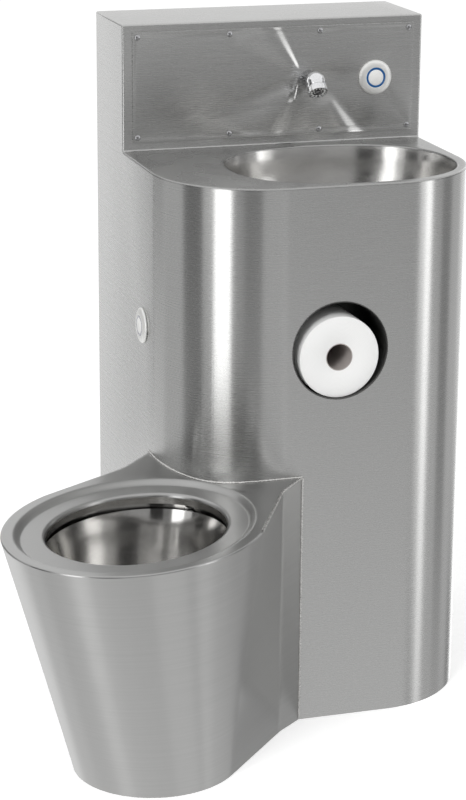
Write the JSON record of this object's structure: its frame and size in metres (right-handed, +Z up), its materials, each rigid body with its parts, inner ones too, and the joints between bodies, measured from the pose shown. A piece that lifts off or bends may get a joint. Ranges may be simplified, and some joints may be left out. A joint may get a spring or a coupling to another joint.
{
  "type": "toilet and basin combination unit",
  "caption": "Stainless steel cabinet with a wash basin on top and a toilet pan welded to its corner, with push buttons, spout, splash box and a toilet roll niche.",
  "frame": {"origin": "on the floor, in the wall plane, at the middle of the cabinet's width", "axes": "+X right along the wall, +Y into the wall, +Z up"},
  "size_m": [0.8117, 0.8359, 1.05],
  "materials": {
    "satin_steel": "satin ground stainless sheet, fine horizontal grain",
    "plain_steel": "mill finish stainless steel",
    "polished_steel": "bright polished pressed steel",
    "bezel_steel": "fine bead blasted steel",
    "screw_steel": "bright button head screws",
    "plunger_steel": "turned magnetic steel",
    "chrome_plate": "bright chrome plate",
    "slip_nut_plastic": "moulded plastic nut",
    "valve_brass": "cast and turned brass",
    "seal_rubber": "soft black rubber",
    "barrel_plastic": "moulded black nylon",
    "ring_plastic": "dark blue light ring",
    "cap_plastic": "pale satin cap",
    "lever_plastic": "dipped vinyl lever",
    "box_plastic": "moulded grey box",
    "board_laminate": "green circuit board",
    "tissue_paper": "soft white tissue",
    "core_card": "wound grey card"
  },
  "bodies": {
    "cabinet": {"body_wrap": "satin_steel", "splash_box": "satin_steel", "counter_top": "satin_steel", "access_panel": "satin_steel", "niche_tube": "satin_steel", "niche_back": "satin_steel", "pan_skirt": "satin_steel", "pan_deck": "satin_steel", "rear_plate": "plain_steel", "tie_rails": "plain_steel", "panel_inserts": "plain_steel", "pan_trap": "plain_steel", "soil_pipe": "plain_steel", "flush_pipe": "plain_steel", "flush_elbow": "plain_steel", "wash_nut": "plain_steel", "flush_nut": "plain_steel", "basin_bowl": "polished_steel", "pan_bowl": "polished_steel", "flushing_rim": "polished_steel", "wash_bezel": "bezel_steel", "flush_bezel": "bezel_steel", "panel_screws": "screw_steel", "wash_spring": "plunger_steel", "flush_spring": "plunger_steel", "spout_body": "chrome_plate", "spout_aerator": "chrome_plate", "basin_waste": "chrome_plate", "bottle_trap": "chrome_plate", "trap_cup": "chrome_plate", "basin_waste_pipe": "chrome_plate", "waste_nuts": "slip_nut_plastic", "spout_nut": "valve_brass", "wash_valve": "valve_brass", "flush_valve": "valve_brass", "wash_stop": "valve_brass", "flush_stop": "valve_brass", "panel_gasket": "seal_rubber", "spout_washer": "seal_rubber", "wash_seal": "seal_rubber", "flush_seal": "seal_rubber", "wash_barrel": "barrel_plastic", "flush_barrel": "barrel_plastic", "wash_coil": "barrel_plastic", "flush_coil": "barrel_plastic", "wash_ring": "ring_plastic", "flush_ring": "ring_plastic", "control_box": "box_plastic", "control_lid": "box_plastic", "control_board": "board_laminate"},
    "wash_button": {"wash_cap": "cap_plastic"},
    "flush_button": {"flush_cap": "cap_plastic"},
    "wash_armature": {"wash_plunger": "plunger_steel"},
    "flush_armature": {"flush_plunger": "plunger_steel"},
    "wash_stop_key": {"wash_ball": "chrome_plate", "wash_lever": "lever_plastic"},
    "flush_stop_key": {"flush_ball": "chrome_plate", "flush_lever": "lever_plastic"},
    "core": {"roll_core": "core_card"},
    "roll": {"roll_paper": "tissue_paper"}
  },
  "joints": [
    {"name": "wash_press", "type": "slide", "parent": "cabinet", "child": "wash_button", "axis": [0, 1, 0], "range_m": [0, 0.0025], "stiffness_N_per_m": 400, "springref_m": -0.004},
    {"name": "flush_press", "type": "slide", "parent": "cabinet", "child": "flush_button", "axis": [1, 0, 0], "range_m": [0, 0.0025], "stiffness_N_per_m": 400, "springref_m": -0.004},
    {"name": "wash_lift", "type": "slide", "parent": "cabinet", "child": "wash_armature", "axis": [0, 0, 1], "range_m": [0, 0.003], "deforming": ["wash_spring"]},
    {"name": "flush_lift", "type": "slide", "parent": "cabinet", "child": "flush_armature", "axis": [0, 0, 1], "range_m": [0, 0.003], "deforming": ["flush_spring"]},
    {"name": "wash_stop_turn", "type": "hinge", "parent": "cabinet", "child": "wash_stop_key", "pos_m": [0.056, -0.048, 0.955], "axis": [0, 0, -1], "range_deg": [0, 90]},
    {"name": "flush_stop_turn", "type": "hinge", "parent": "cabinet", "child": "flush_stop_key", "pos_m": [-0.11533, -0.048, 0.955], "axis": [0, 0, -1], "range_deg": [0, 90]},
    {"name": "roll_slide", "type": "slide", "parent": "cabinet", "child": "core", "axis": [0, -1, 0], "range_m": [0, 0.1]},
    {"name": "roll_spin", "type": "hinge", "parent": "core", "child": "roll", "pos_m": [-0.0025, -0.496, 0.5853], "axis": [0, -1, 0], "continuous": true}
  ],
  "couplings": [
    {"joint": "wash_lift", "follows": "wash_press", "ratio": 1.2},
    {"joint": "flush_lift", "follows": "flush_press", "ratio": 1.2}
  ]
}
